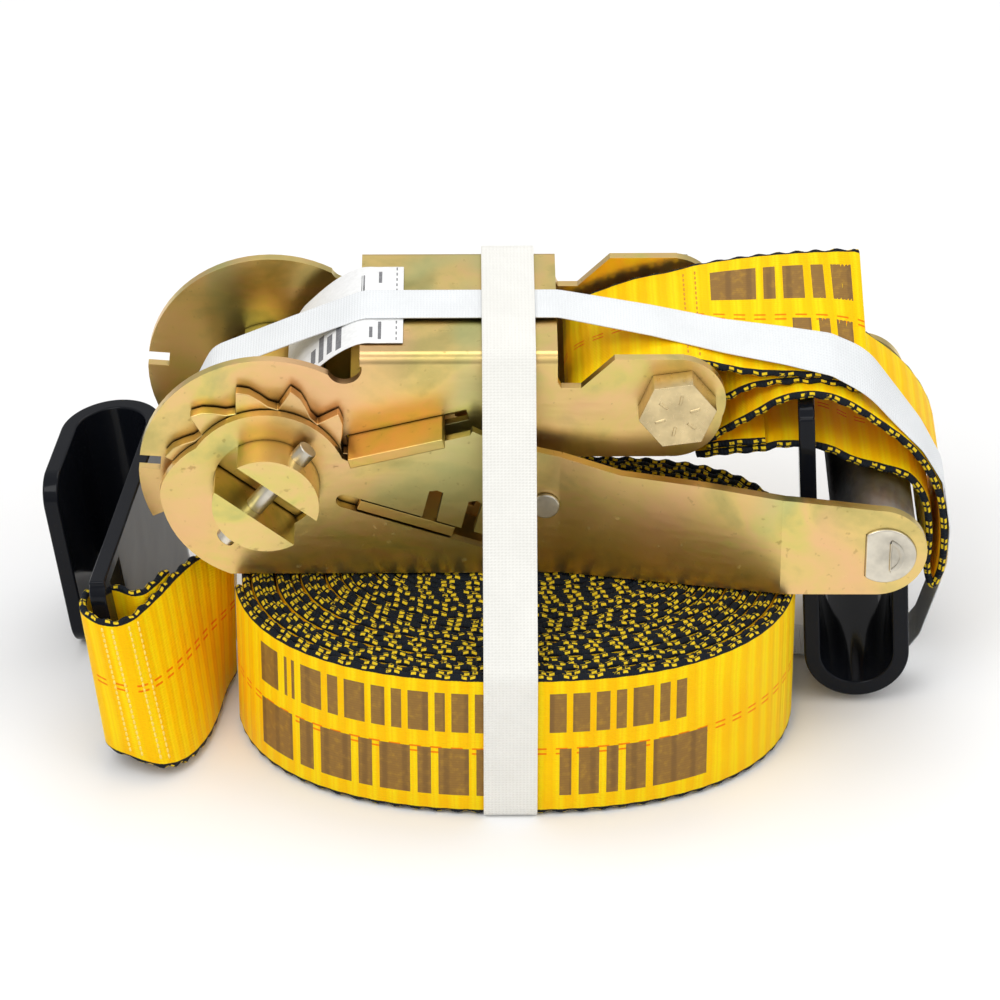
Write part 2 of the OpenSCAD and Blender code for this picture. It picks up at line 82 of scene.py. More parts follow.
# ---------------------------------------------------------------- node graph helpers
class Graph:
    """A material's node graph, with short calls that return sockets."""

    def __init__(self, name):
        self.mat = bpy.data.materials.new(name)
        self.mat.use_nodes = True
        self.tree = self.mat.node_tree
        self.tree.nodes.clear()
        out = self.node("ShaderNodeOutputMaterial")
        self.shader = self.node("ShaderNodeBsdfPrincipled")
        self.tree.links.new(self.shader.outputs[0], out.inputs[0])

    def node(self, kind, **settings):
        n = self.tree.nodes.new(kind)
        for k, v in settings.items():
            setattr(n, k, v)
        return n

    def put(self, socket, value):
        if isinstance(value, bpy.types.NodeSocket):
            self.tree.links.new(value, socket)
        elif value is not None:
            socket.default_value = value

    def set(self, **inputs):
        names = {i.name.lower().replace(" ", "_"): i for i in self.shader.inputs}
        for k, v in inputs.items():
            self.put(names[k], v)

    def math(self, op, a, b=None, c=None):
        n = self.node("ShaderNodeMath", operation=op)
        for socket, v in zip(n.inputs, (a, b, c)):
            self.put(socket, v)
        return n.outputs[0]

    def mix(self, factor, a, b, blend="MIX"):
        n = self.node("ShaderNodeMix", data_type="RGBA", blend_type=blend)
        self.put(n.inputs[0], factor)
        self.put(n.inputs[6], rgb(a))
        self.put(n.inputs[7], rgb(b))
        return n.outputs[2]

    def ramp(self, value, stops):
        n = self.node("ShaderNodeValToRGB")
        e = n.color_ramp.elements
        while len(e) < len(stops):
            e.new(0.5)
        for element, (at, colour) in zip(e, stops):
            element.position, element.color = at, rgb(colour)
        self.put(n.inputs[0], value)
        return n.outputs[0]

    def noise(self, vector, scale, detail=3.0, roughness=0.5, distortion=0.0):
        n = self.node("ShaderNodeTexNoise")
        self.put(n.inputs["Vector"], vector)
        n.inputs["Scale"].default_value = scale
        n.inputs["Detail"].default_value = detail
        n.inputs["Roughness"].default_value = roughness
        n.inputs["Distortion"].default_value = distortion
        return n.outputs[0]

    def position(self):
        return self.node("ShaderNodeTexCoord").outputs["Object"]

    def scaled(self, vector, scale):
        n = self.node("ShaderNodeMapping")
        self.put(n.inputs[0], vector)
        n.inputs["Scale"].default_value = scale
        return n.outputs[0]

    def attribute(self, name):
        n = self.node("ShaderNodeAttribute", attribute_name=name)
        s = self.node("ShaderNodeSeparateXYZ")
        self.put(s.inputs[0], n.outputs["Vector"])
        return s.outputs

    def bump(self, height, distance, strength):
        n = self.node("ShaderNodeBump")
        n.inputs["Strength"].default_value = strength
        n.inputs["Distance"].default_value = distance
        self.put(n.inputs["Height"], height)
        return n.outputs[0]

    def wave(self, value, period, phase=0.0):
        """0 to 1 and back over each period of value."""
        turned = self.math("MULTIPLY_ADD", value, 2 * math.pi / period, phase)
        return self.math("MULTIPLY_ADD", self.math("SINE", turned), 0.5, 0.5)

    def step(self, value, low, high):
        """0 at low and beyond it, 1 at high and beyond it, and smooth between; low may be the larger one."""
        n = self.node("ShaderNodeMapRange", interpolation_type="SMOOTHSTEP")
        self.put(n.inputs[0], value)
        n.inputs[1].default_value, n.inputs[2].default_value = low, high
        return n.outputs[0]


def rgb(c):
    """A colour of three numbers with its alpha added; a socket stays as it is."""
    return (*c, 1.0) if isinstance(c, tuple) else c


# ---------------------------------------------------------------- materials
def webbing_material():
    """Yellow polyester webbing: cross ribs, warp threads, tracer lines, and black selvedges with yellow flecks.
    The attribute 'weave' holds the place along and across it, in mm, and 1 on its inner face."""
    g = Graph("webbing_yellow")
    along, across, face = g.attribute("weave")
    point = g.position()
    sway = g.math("MULTIPLY_ADD", g.noise(point, 60, 2), 1.2, along)
    ribs = g.wave(sway, RIB)
    fine = g.wave(sway, RIB / 3, 0.6)
    warp = g.wave(across, WARP)
    cloud = g.noise(point, 45, 4)
    yellow = g.ramp(cloud, [(0.3, (1.0, 0.57, 0.0)), (0.55, (1.0, 0.64, 0.0)), (0.75, (1.0, 0.70, 0.0))])
    # painted highlight on the crests of the ribs, and painted shade in the gaps of the ribs, of the picks between
    # them and of the warp
    yellow = g.mix(g.math("MULTIPLY", g.step(ribs, 0.5, 1.0), 0.42), yellow, (1.0, 0.84, 0.01))
    yellow = g.mix(g.math("MULTIPLY", g.step(ribs, 0.35, 0.0), 0.30), yellow, (0.97, 0.44, 0.0))
    yellow = g.mix(g.math("MULTIPLY", g.step(fine, 0.4, 0.0), 0.26), yellow, (0.96, 0.46, 0.0))
    yellow = g.mix(g.math("MULTIPLY", g.step(warp, 0.35, 0.0), 0.12), yellow, (0.95, 0.46, 0.0))
    # two broken tracer lines near the middle
    middle = g.math("ABSOLUTE", g.math("SUBTRACT", across, STRAP_W / 2 - 2))
    line = g.step(g.math("ABSOLUTE", g.math("SUBTRACT", middle, 0.9)), 0.42, 0.26)
    dash = g.step(g.wave(along, RIB), 0.30, 0.50)
    yellow = g.mix(g.math("MULTIPLY", g.math("MULTIPLY", line, dash), 0.75), yellow, (0.90, 0.09, 0.0))
    # black selvedges with a wavy inner border
    edge = g.math("SUBTRACT", STRAP_W / 2, g.math("ABSOLUTE", g.math("SUBTRACT", across, STRAP_W / 2)))
    inner = g.math("MULTIPLY_ADD", g.wave(along, RIB), 0.5, 1.05)
    black = g.step(g.math("SUBTRACT", edge, inner), 0.25, 0.0)
    # two flecks and a gap, over and over, in a narrow lane near the edge
    shifted = g.math("MULTIPLY_ADD", face, 0.4, along)
    pair = g.step(g.wave(shifted, 3 * DASH), 0.30, 0.38)
    fleck = g.math("MULTIPLY", g.step(g.wave(shifted, DASH), 0.25, 0.42), pair)
    lane = g.step(g.math("ABSOLUTE", g.math("SUBTRACT", edge, 0.30)), 0.30, 0.18)
    thread = g.step(g.noise(point, 600, 2), 0.30, 0.42)
    fleck = g.math("MULTIPLY", g.math("MULTIPLY", fleck, lane), thread)
    dark = g.mix(fleck, (0.010, 0.013, 0.018), (0.86, 0.60, 0.02))
    colour = g.mix(black, yellow, dark)
    # relief
    height = g.math("MULTIPLY_ADD", warp, 0.16, g.math("MULTIPLY", ribs, 0.7))
    height = g.math("MULTIPLY_ADD", fine, 0.2, height)
    cord = g.math("MULTIPLY", black, g.wave(along, 1.1))
    height = g.math("MULTIPLY_ADD", cord, 0.5, height)
    g.set(base_color=colour, roughness=0.6, normal=g.bump(height, 0.0004, 0.75))
    g.shader.inputs["Sheen Weight"].default_value = 0.02
    g.shader.inputs["Sheen Roughness"].default_value = 0.4
    g.shader.inputs["Specular IOR Level"].default_value = 0.1
    g.shader.inputs["Subsurface Weight"].default_value = 0.08
    g.shader.inputs["Subsurface Scale"].default_value = 0.0015
    return g.mat


def print_material():
    """Brown ink that the ribs of the webbing show through, with painted shade in the gaps between the ribs and
    between the threads.
    """
    g = Graph("ink_brown")
    along, across, _ = g.attribute("weave")
    ribs = g.wave(along, RIB)
    threads = g.wave(across, WARP)
    worn = g.noise(g.position(), 500, 3)
    colour = g.mix(g.step(worn, 0.45, 0.85), (0.27, 0.135, 0.016), (0.42, 0.22, 0.015))
    # painted shade: darker ink in the gaps between the ribs and between the warp threads
    colour = g.mix(g.math("MULTIPLY", g.step(ribs, 0.35, 0.0), 0.45), colour, (0.12, 0.052, 0.008))
    colour = g.mix(g.math("MULTIPLY", g.step(threads, 0.3, 0.0), 0.2), colour, (0.12, 0.052, 0.008))
    g.set(base_color=colour, roughness=0.65, normal=g.bump(ribs, 0.0003, 0.7))
    return g.mat


def band_material(name, pale, shade):
    """Woven paper band with fine cords across and along, and painted shade in the low places between the cords."""
    g = Graph(name)
    along, across, _ = g.attribute("weave")
    warp = g.wave(across, 1.05)
    weft = g.wave(along, 0.9)
    height = g.math("MULTIPLY_ADD", weft, 0.6, g.math("MULTIPLY", warp, 0.5))
    cloud = g.noise(g.position(), 70, 3)
    fade = tuple(c * 0.93 for c in pale)
    base = g.ramp(cloud, [(0.3, fade), (0.7, pale)])
    # painted shade: the low places of the weave take the shade colour
    colour = g.mix(g.math("MULTIPLY", g.step(height, 0.45, 0.0), 0.5), base, shade)
    g.set(base_color=colour, roughness=0.75, normal=g.bump(height, 0.0002, 0.6))
    g.shader.inputs["Sheen Weight"].default_value = 0.08
    return g.mat


def zinc_material(name="zinc_yellow", tint=(1.0, 1.0, 1.0), grain=1.0):
    """Yellow zinc chromate: gold with pink and green clouds, scratches, a few dull spots, and painted shade in
    corners and crevices.
    """
    g = Graph(name)
    point = g.position()
    big = g.noise(g.scaled(point, (1, 1, 1.5)), 21, 3, 0.55, 1.2)
    hue = g.noise(g.scaled(point, (1.3, 1, 1)), 13, 2, 0.5, 0.6)
    small = g.noise(point, 190, 4, 0.6)
    mixed = g.math("MULTIPLY_ADD", small, 0.16, g.math("MULTIPLY", big, 0.9))
    colour = g.ramp(mixed, [
        (0.30, (0.42, 0.36, 0.12)), (0.42, (0.60, 0.48, 0.17)), (0.50, (0.75, 0.56, 0.20)),
        (0.57, (0.78, 0.54, 0.22)), (0.66, (0.70, 0.57, 0.18)), (0.76, (0.50, 0.47, 0.16))])
    colour = g.mix(g.math("MULTIPLY", g.step(hue, 0.53, 0.66), 0.48), colour, (0.84, 0.46, 0.28))
    colour = g.mix(g.math("MULTIPLY", g.step(hue, 0.46, 0.32), 0.55), colour, (0.48, 0.54, 0.24))
    colour = g.mix(1.0, colour, tint, "MULTIPLY")
    streaks = g.noise(g.scaled(point, (140, 140, 900)), 1.0, 2, 0.6)
    spots = g.step(g.noise(point, 420, 2), 0.66, 0.74)
    colour = g.mix(g.math("MULTIPLY", spots, 0.25), colour, (0.30, 0.22, 0.08))
    # painted shade: the colour darkens towards near black where ambient occlusion finds other surfaces close by,
    # in corners, gaps and recesses
    open_air = g.node("ShaderNodeAmbientOcclusion", samples=8)
    open_air.inputs["Distance"].default_value = 0.0032
    painted_crevice_shade = g.step(open_air.outputs["AO"], 0.80, 0.25)
    colour = g.mix(g.math("MULTIPLY", painted_crevice_shade, 0.82), colour, (0.05, 0.032, 0.012))
    rough = g.math("MULTIPLY_ADD", streaks, 0.16 * grain, 0.24)
    rough = g.math("MULTIPLY_ADD", spots, 0.2, rough)
    waviness = g.noise(point, 38, 2)
    height = g.math("MULTIPLY_ADD", waviness, 8.0, streaks)
    g.set(base_color=colour, metallic=1.0, roughness=rough, normal=g.bump(height, 0.00004 * grain, 0.35))
    return g.mat


def steel_material(name, colour, rough):
    """Bright steel with drawn scratches and a little staining."""
    g = Graph(name)
    point = g.position()
    stain = g.noise(point, 60, 4, 0.6)
    lines = g.noise(g.scaled(point, (900, 140, 900)), 1.0, 2, 0.5)
    dull = tuple(c * 0.62 for c in colour)
    uneven = g.math("MULTIPLY_ADD", lines, 0.22, rough - 0.1)
    g.set(base_color=g.ramp(stain, [(0.35, dull), (0.6, colour)]), metallic=1.0, roughness=uneven,
          normal=g.bump(lines, 0.00005, 0.4))
    return g.mat


def vinyl_material():
    """Glossy black dipped coating with a faint waviness and a little dust."""
    g = Graph("vinyl_black")
    point = g.position()
    swell = g.noise(point, 45, 2)
    dust = g.step(g.noise(point, 1500, 2), 0.70, 0.78)
    colour = g.mix(g.math("MULTIPLY", dust, 0.3), (0.006, 0.007, 0.010), (0.04, 0.045, 0.055))
    rough = g.math("MULTIPLY_ADD", dust, 0.25, 0.12)
    g.set(base_color=colour, roughness=rough, normal=g.bump(swell, 0.0006, 0.35))
    g.shader.inputs["Specular IOR Level"].default_value = 0.08
    g.shader.inputs["Coat Weight"].default_value = 0.12
    g.shader.inputs["Coat Roughness"].default_value = 0.06
    return g.mat


def tag_material():
    """White synthetic paper."""
    g = Graph("tag_white")
    fibre = g.noise(g.position(), 700, 3)
    white = g.ramp(fibre, [(0.3, (0.82, 0.82, 0.81)), (0.7, (0.90, 0.90, 0.89))])
    g.set(base_color=white, roughness=0.5, normal=g.bump(fibre, 0.0001, 0.3))
    return g.mat


def flat_ink_material(name, colour):
    """Matt ink, a little worn."""
    g = Graph(name)
    worn = g.noise(g.position(), 1200, 3)
    pale = tuple(min(1.0, c + 0.12) for c in colour)
    g.set(base_color=g.ramp(worn, [(0.4, colour), (0.85, pale)]), roughness=0.6)
    return g.mat


def thread_material(name, shade, pale):
    """Sewing thread, with painted shade between its twists, laid on as fine random noise."""
    g = Graph(name)
    twist = g.noise(g.position(), 2500, 2)
    # painted shade: fine random noise blends from the shade colour to the pale one
    g.set(base_color=g.ramp(twist, [(0.3, shade), (0.7, pale)]), roughness=0.7)
    return g.mat


WEBBING = webbing_material()
INK = print_material()
BAND = band_material("band_cream", (0.86, 0.85, 0.80), (0.68, 0.66, 0.61))
BAND_COOL = band_material("band_white", (0.83, 0.85, 0.86), (0.64, 0.66, 0.68))
ZINC = zinc_material()
ZINC_DARK = zinc_material("zinc_red", (0.92, 0.80, 0.62), 1.6)
STEEL = steel_material("steel_bright", (0.74, 0.69, 0.58), 0.34)
ZINC_PALE = zinc_material("zinc_pale", (1.0, 1.04, 1.02), 1.2)
GOLDEN = steel_material("steel_golden", (0.78, 0.62, 0.34), 0.30)
TUBE = steel_material("steel_tube", (0.46, 0.46, 0.47), 0.42)
WIRE = steel_material("steel_wire", (0.45, 0.45, 0.46), 0.38)
VINYL = vinyl_material()
TAG = tag_material()
TAG_INK = flat_ink_material("tag_grey", (0.16, 0.16, 0.17))
THREAD = thread_material("thread_orange", (0.55, 0.20, 0.01), (0.85, 0.40, 0.02))
THREAD_PALE = thread_material("thread_yellow", (0.95, 0.62, 0.05), (1.0, 0.82, 0.22))


# ---------------------------------------------------------------- mesh helpers
def mesh_object(name, points, faces, material, smooth_angle=60):
    """A mesh object from points in mm."""
    mesh = bpy.data.meshes.new(name)
    mesh.from_pydata([tuple(p) for p in np.asarray(points) * MM], [], [tuple(f) for f in faces])
    mesh.update()
    for polygon in mesh.polygons:
        polygon.use_smooth = True
    mesh.set_sharp_from_angle(angle=math.radians(smooth_angle))
    mesh.materials.append(material)
    obj = bpy.data.objects.new(name, mesh)
    bpy.context.scene.collection.objects.link(obj)
    return obj


def smooth_curve(points, step):
    """Points on a smooth curve through the given ones, about step apart along it."""
    p = np.asarray(points, float)
    last = len(p) - 1
    out = []
    for i in range(last):
        a, b, c, d = p[max(i - 1, 0)], p[i], p[i + 1], p[min(i + 2, last)]
        count = max(2, int(np.linalg.norm((c - b)[:3]) / step))
        for f in np.arange(count) / count:
            square = a - 2.5 * b + 2 * c - d / 2
            cube = 1.5 * (b - c) + (d - a) / 2
            out.append(b + f * ((c - a) / 2 + f * (square + f * cube)))
    out.append(p[-1])
    return np.array(out)


def filleted_ring(points, radii, step):
    """Points about step apart round a closed path, each corner rounded to at most its own radius."""
    p = [np.asarray(q, float) for q in points]
    out = []
    for i, (b, radius) in enumerate(zip(p, radii)):
        u, v = p[i - 1] - b, p[(i + 1) % len(p)] - b
        before, after = np.linalg.norm(u), np.linalg.norm(v)
        u, v = u / before, v / after
        turn = math.pi - math.acos(max(-1.0, min(1.0, float(u @ v))))
        if turn < 0.02:
            out.append(b)
            continue
        cut = min(radius * math.tan(turn / 2), 0.49 * before, 0.49 * after)
        steps = max(3, int(turn / 0.12))
        for f in np.arange(steps + 1) / steps:
            out.append((1 - f) ** 2 * (b + u * cut) + 2 * f * (1 - f) * b + f * f * (b + v * cut))
    path = np.array(out + out[:1])
    gone = distances(path)
    even = np.linspace(0, gone[-1], int(gone[-1] / step) + 2)
    return np.stack([np.interp(even, gone, column) for column in path.T], axis=1)[:-1]


def distances(path):
    """How far along the path each of its points is."""
    return np.concatenate([[0], np.cumsum(np.linalg.norm(np.diff(path, axis=0), axis=1))])


def unit(v):
    return v / np.linalg.norm(v)


def edge_profile(width, thickness, middle):
    """Places across a strip, from 0 to width, and the half thickness there, with round edges."""
    r = thickness / 2
    near = [0.0, 0.13 * r, 0.5 * r, r]
    inside = list(np.linspace(r, width - r, middle + 2))[1:-1]
    across = np.array(near + inside + [width - d for d in reversed(near)])
    gap = np.minimum(across, width - across)
    half = np.where(gap < r, np.sqrt(np.maximum(0.0, r * r - (r - gap) ** 2)), r)
    return across, np.maximum(half, 0.04 * r)


class Strip:
    """A woven strip between two edge curves of as many points each, in mm."""

    def __init__(self, low, high, thickness, closed=False):
        self.low, self.high = np.asarray(low, float), np.asarray(high, float)
        self.closed, self.thickness = closed, thickness
        mid = (self.low + self.high) / 2
        ahead, behind = np.roll(mid, -1, axis=0), np.roll(mid, 1, axis=0)
        if not closed:
            ahead[-1], behind[0] = mid[-1], mid[0]
        side = self.high - self.low
        self.width = float(np.median(np.linalg.norm(side, axis=1)))
        out = np.cross(ahead - behind, side)
        self.out = out / np.linalg.norm(out, axis=1)[:, None]
        self.gone = distances(mid)
        self.length = float(self.gone[-1])

    def at(self, along, across, height=0.0):
        """The point that far along and across the strip, and that high over its outer face."""
        low, high, out = (np.array([np.interp(along, self.gone, a[:, k]) for k in range(3)])
                          for a in (self.low, self.high, self.out))
        return low + (high - low) * across / self.width + out * (self.thickness / 2 + height)

    def mesh(self, name, material, middle=5, scallop=0.0, nominal=None):
        """The strip as a closed mesh, with so many points across between its round edges. The ribs push the
        edges in and out by scallop, and nominal is the width in which the weave is counted."""
        nominal = nominal or self.width
        across, half = edge_profile(nominal, self.thickness, middle)
        share = across / nominal
        n, m = len(self.low), len(across)
        side = self.high - self.low
        wave = scallop * np.sin(2 * math.pi * self.gone / RIB) / np.linalg.norm(side, axis=1)
        weight = (2 * share - 1) ** 5
        place = share[None, :] + weight[None, :] * wave[:, None]
        base = self.low[:, None] + side[:, None] * place[..., None]
        top = base + self.out[:, None] * half[None, :, None]
        under = base - self.out[:, None] * half[None, :, None]
        points = np.concatenate([top, under[:, ::-1]], axis=1).reshape(-1, 3)
        weave = np.zeros((n, 2 * m, 3), np.float32)
        weave[..., 0] = self.gone[:, None]
        weave[:, :m, 1] = across
        weave[:, m:, 1] = across[::-1]
        weave[:, m:, 2] = 1.0
        ring = 2 * m
        faces = []
        for i in range(n if self.closed else n - 1):
            j = (i + 1) % n
            faces += [(i * ring + k, i * ring + (k + 1) % ring, j * ring + (k + 1) % ring, j * ring + k)
                      for k in range(ring)]
        if not self.closed:
            faces += [tuple(range(ring))[::-1], tuple((n - 1) * ring + k for k in range(ring))]
        obj = mesh_object(name, points, faces, material, 80)
        woven(obj, weave.reshape(-1, 3))
        return obj

    def patches(self, name, boxes, material, height=0.03, thickness=0.05):
        """Thin raised patches on the outer face; each box is along from, along to, across from, across to."""
        points, faces, weave = [], [], []
        for a, b, c, d in boxes:
            rows = max(2, int((b - a) / 2.0) + 1)
            first = len(points)
            for s in np.linspace(a, b, rows):
                for t, h in ((c, height), (d, height), (d, height - thickness), (c, height - thickness)):
                    points.append(self.at(s, t, h))
                    weave.append((s, t, 0.0))
            for i in range(rows - 1):
                k = first + 4 * i
                faces += [(k + q, k + (q + 1) % 4, k + 4 + (q + 1) % 4, k + 4 + q) for q in range(4)]
            last = first + 4 * (rows - 1)
            faces += [(first + 3, first + 2, first + 1, first), (last, last + 1, last + 2, last + 3)]
        obj = mesh_object(name, points, faces, material, 30)
        woven(obj, np.array(weave, np.float32))
        return obj

    def stitches(self, name, rows, material, pitch, length, radius):
        """Rows of six-sided thread stitches; each row is along, across from, across to."""
        points, faces = [], []
        for along, c, d in rows:
            for t in np.arange(c, d - length, pitch):
                first = len(points)
                start = self.at(along, t, -0.15)
                run = self.at(along, t + length, -0.15) - start
                up = unit(self.at(along, t, 1.0) - self.at(along, t, 0.0))
                flat = np.cross(unit(run), up)
                for f, size in ((0.0, 0.35), (0.25, 0.9), (0.75, 0.9), (1.0, 0.35)):
                    centre = start + run * f + up * 0.22 * math.sin(math.pi * f)
                    points += [centre + radius * size * (math.cos(q) * up + math.sin(q) * flat)
                               for q in np.arange(6) * math.pi / 3]
                for r in range(3):
                    k = first + 6 * r
                    faces += [(k + q, k + (q + 1) % 6, k + 6 + (q + 1) % 6, k + 6 + q) for q in range(6)]
                faces += [tuple(first + q for q in range(6))[::-1], tuple(first + 18 + q for q in range(6))]
        return mesh_object(name, points, faces, material, 80)


def woven(obj, weave):
    """Writes the place along and across the weave at each point, for the materials."""
    attribute = obj.data.attributes.new("weave", "FLOAT_VECTOR", "POINT")
    attribute.data.foreach_set("vector", np.ascontiguousarray(weave, np.float32).reshape(-1))


def level(path, y, width):
    """Edge curves, level across Y, of a strip that follows [x, z] points about y, a number or one for each."""
    path = np.asarray(path, float)
    low = np.stack([path[:, 0], np.zeros(len(path)) + y - width / 2, path[:, 1]], axis=1)
    return low, low + [0, width, 0]


def soft_piece(obj, body, node=None):
    """Hangs a strip's mesh on a body, if one is given, and hides the CAD node that it stands for."""
    if body:
        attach(obj, body)
    if node:
        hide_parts(node)
    return obj


def trim(obj, body):
    """A print, a seam or a line on a piece."""
    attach(obj, body)
    return obj


def flat_faces_first(mesh):
    """Smooth shading in which wide faces stay flat and only the rounded edges beside them turn."""
    normals = np.zeros((len(mesh.vertices), 3))
    for polygon in mesh.polygons:
        polygon.use_smooth = True
        normals[list(polygon.vertices)] += np.array(polygon.normal) * polygon.area
    lengths = np.maximum(np.linalg.norm(normals, axis=1), 1e-12)
    mesh.normals_split_custom_set_from_vertices(normals / lengths[:, None])


def finished(node, name, mesh, material):
    """An object of that mesh and material, standing for the CAD node on the node's own body."""
    mesh.materials.clear()
    mesh.materials.append(material)
    obj = bpy.data.objects.new(name, mesh)
    bpy.context.scene.collection.objects.link(obj)
    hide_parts(node)
    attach(obj, BODY_OF[node])
    return obj


def dressed(node, material, bevel):
    """The CAD node's own shape with its sharp edges rounded."""
    mesh = frame["nodes"][node].data.copy()
    mesh.name = node + "_finished"
    shape = bmesh.new()
    shape.from_mesh(mesh)
    bmesh.ops.remove_doubles(shape, verts=shape.verts, dist=0.00001)
    bmesh.ops.dissolve_limit(shape, angle_limit=math.radians(0.7), verts=shape.verts, edges=shape.edges)
    sharp = [e for e in shape.edges if len(e.link_faces) == 2 and e.calc_face_angle() > math.radians(32)]
    bmesh.ops.bevel(shape, geom=sharp, offset=bevel * MM, segments=4 if bevel > 1 else 2, profile=0.5,
                    affect="EDGES", clamp_overlap=True)
    for place in BENDS.get(node, ()):
        for x in (place - BEND_REACH, place + BEND_REACH):
            bmesh.ops.bisect_plane(shape, geom=shape.verts[:] + shape.edges[:] + shape.faces[:], dist=0.000001,
                                   plane_co=((SPOOL[0] + x) * MM, 0, 0), plane_no=(1, 0, 0))
    shape.to_mesh(mesh)
    shape.free()
    flat_faces_first(mesh)
    finished(node, node + "_finished", mesh, material)


# ---------------------------------------------------------------- metal and vinyl pieces
BENDS = {"handle_plate_near": (88.0, 154.0), "handle_plate_far": (88.0, 154.0)}  # in x from the spool's axis
BEND_REACH = 7.0  # how far a bend's rounding goes to each side
BODY_OF = {n: body for body, nodes in frame["record"]["behaviour"]["bodies"].items() for n in nodes}
# Material and edge rounding of the pieces that are seen as the CAD has them.
LOOKS = {
    "handle_plate_near": (ZINC, 0.35), "handle_plate_far": (ZINC, 0.35), "handle_web": (ZINC, 0.35),
    "handle_spacer": (STEEL, 0.5), "handle_grip": (TUBE, 0.3), "grip_plugs": (STEEL, 0.6),
    "drive_pawl": (ZINC_DARK, 0.35), "frame": (ZINC, 0.35), "frame_bolt": (GOLDEN, 0.25),
    "bolt_nut": (STEEL, 0.3), "bolt_sleeve": (STEEL, 0.3), "lock_pawl": (ZINC_DARK, 0.35),
    "spool_half_upper": (ZINC_PALE, 1.1), "spool_half_lower": (ZINC_PALE, 1.1),
    "ratchet_wheel_near": (ZINC, 0.35), "ratchet_wheel_far": (ZINC, 0.35), "spool_pins": (STEEL, 0.4),
    "left_hook": (VINYL, 1.6), "right_hook": (VINYL, 1.6),
}


def build_spring(node):
    """The coil spring as the CAD has it, smooth shaded, on the spring's own body."""
    mesh = frame["nodes"][node].data.copy()
    for polygon in mesh.polygons:
        polygon.use_smooth = True
    obj = finished(node, node + "_coil", mesh, WIRE)
    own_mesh(obj)


def build_stakes():
    """The raised D outline that the staking tool leaves on each end of the grip."""
    low, high = (np.array(c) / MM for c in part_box("grip_plugs"))
    centre = (low + high) / 2
    angles = np.radians(np.linspace(-62, 62, 19))
    arc = np.stack([1.15 * np.cos(angles), 1.05 * np.sin(angles)], axis=1)
    ring = len(arc)
    section = ((6.3, -0.1), (6.3, 0.25), (5.9, 0.45), (5.4, 0.45), (5.0, 0.25), (5.0, -0.1))  # radius, height
    points, faces = [], []
    for y, out in ((low[1], -1), (high[1], 1)):
        first = len(points)
        for r, height in section:
            for x, z in arc * r:
                points.append([centre[0] - 3.2 + x, y + out * height, centre[2] + z])
        for k in range(len(section) - 1):
            for i in range(ring):
                a, b = first + k * ring + i, first + k * ring + (i + 1) % ring
                quad = (a, b, b + ring, a + ring)
                faces.append(quad if out > 0 else quad[::-1])
    stakes = mesh_object("grip_stakes", points, faces, STEEL, 40)
    trim(stakes, BODY_OF["grip_plugs"])


for part, (look, bevel) in LOOKS.items():
    dressed(part, look, bevel)
build_stakes()
build_spring("drive_pawl_spring")
build_spring("lock_pawl_spring")


# ---------------------------------------------------------------- the coil
PITCH = 2.48
TURNS = 24
START = math.radians(188)
SQUARENESS, SQUARER = 2.35, 3.4  # powers of the oval, and of its quarter behind the handle
CORE_A, CORE_B = 3.5, 1.5  # half axes of the oval where the webbing ends
FRONT_END = 330  # the outermost turn has left the coil's front before this length of webbing
NARROW_ROW, WIDE_ROW = (29.5, 43.5), (6.5, 23.5)  # where the prints lie across the webbing
DISC_R, DISC_Y = 39.4, (-31.8, -27.2)  # the near cam disc with its play, from the spool's centre
GROOVE_SLOPE = 2.5  # the pressed groove runs out over this distance on each side of the disc


def coil_line():
    """The webbing's centre line in the coil, from the outside in, and how many turns in each point is."""
    turn = np.linspace(0, TURNS, TURNS * 400 + 1)
    inward = STRAP_T / 2 + PITCH * turn
    wobble = 0.3 * np.sin(3.1 * turn + 1.3 * np.sin(turn)) * np.minimum(turn / 2, 1)
    angle = START + 2 * math.pi * turn
    a = np.maximum(COIL_A - inward - wobble, CORE_A)
    b = np.maximum(COIL_B - inward - wobble, CORE_B)
    c, s = np.cos(angle), np.sin(angle)
    power = 2 / np.where((c > 0) & (s > 0), SQUARER, SQUARENESS)
    flat = np.stack([a * np.sign(c) * np.abs(c) ** power, b * np.sign(s) * np.abs(s) ** power], axis=1)
    gone = distances(flat)
    even = np.linspace(0, gone[-1], int(gone[-1] / STEP) + 1)
    return np.interp(even, gone, flat[:, 0]), np.interp(even, gone, flat[:, 1]), np.interp(even, gone, turn)


def pressed(x, y, z):
    """How far the ratchet's cam disc presses the upper edge of the webbing down at a place."""
    inside = np.minimum(y - SPOOL[1] - DISC_Y[0], DISC_Y[1] - y + SPOOL[1])
    across = np.clip(inside / GROOVE_SLOPE + 1, 0, 1)
    under = SPOOL[2] - np.sqrt(np.maximum(DISC_R ** 2 - (x - SPOOL[0]) ** 2, 0))
    return np.maximum(z - under, 0) * across * (np.abs(x - SPOOL[0]) < DISC_R)


def build_coil():
    """The long webbing on its edge, its turns a little higher and lower than each other."""
    x, y, turn = coil_line()
    x, y = x + COIL[0], y + COIL[1]
    lift = 0.4 * np.sin(2 * math.pi * turn * 1.13 + 0.6) + 0.3 * np.sin(2 * math.pi * turn * 0.37 + 2.0)
    lift *= np.minimum(turn, 1.0)
    bottom = 0.7 + 0.5 * lift
    top = 50.1 + 0.5 * lift
    top = top - pressed(x, y, top)
    strip = Strip(np.column_stack([x, y, bottom]), np.column_stack([x, y, top]), STRAP_T)
    coil = strip.mesh("webbing_coil_wound", WEBBING, middle=3, scallop=SCALLOP, nominal=STRAP_W)
    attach(coil, "root")
    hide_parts("webbing_coil")
    return strip


def bars(along, start, widths, gap, low, high):
    """A run of plain bars from a place on; along gives how far along the strip a place is."""
    boxes = []
    for width in widths:
        ends = sorted((along(start), along(start + width)))
        boxes.append((*ends, low, high))
        start += width + gap
    return boxes


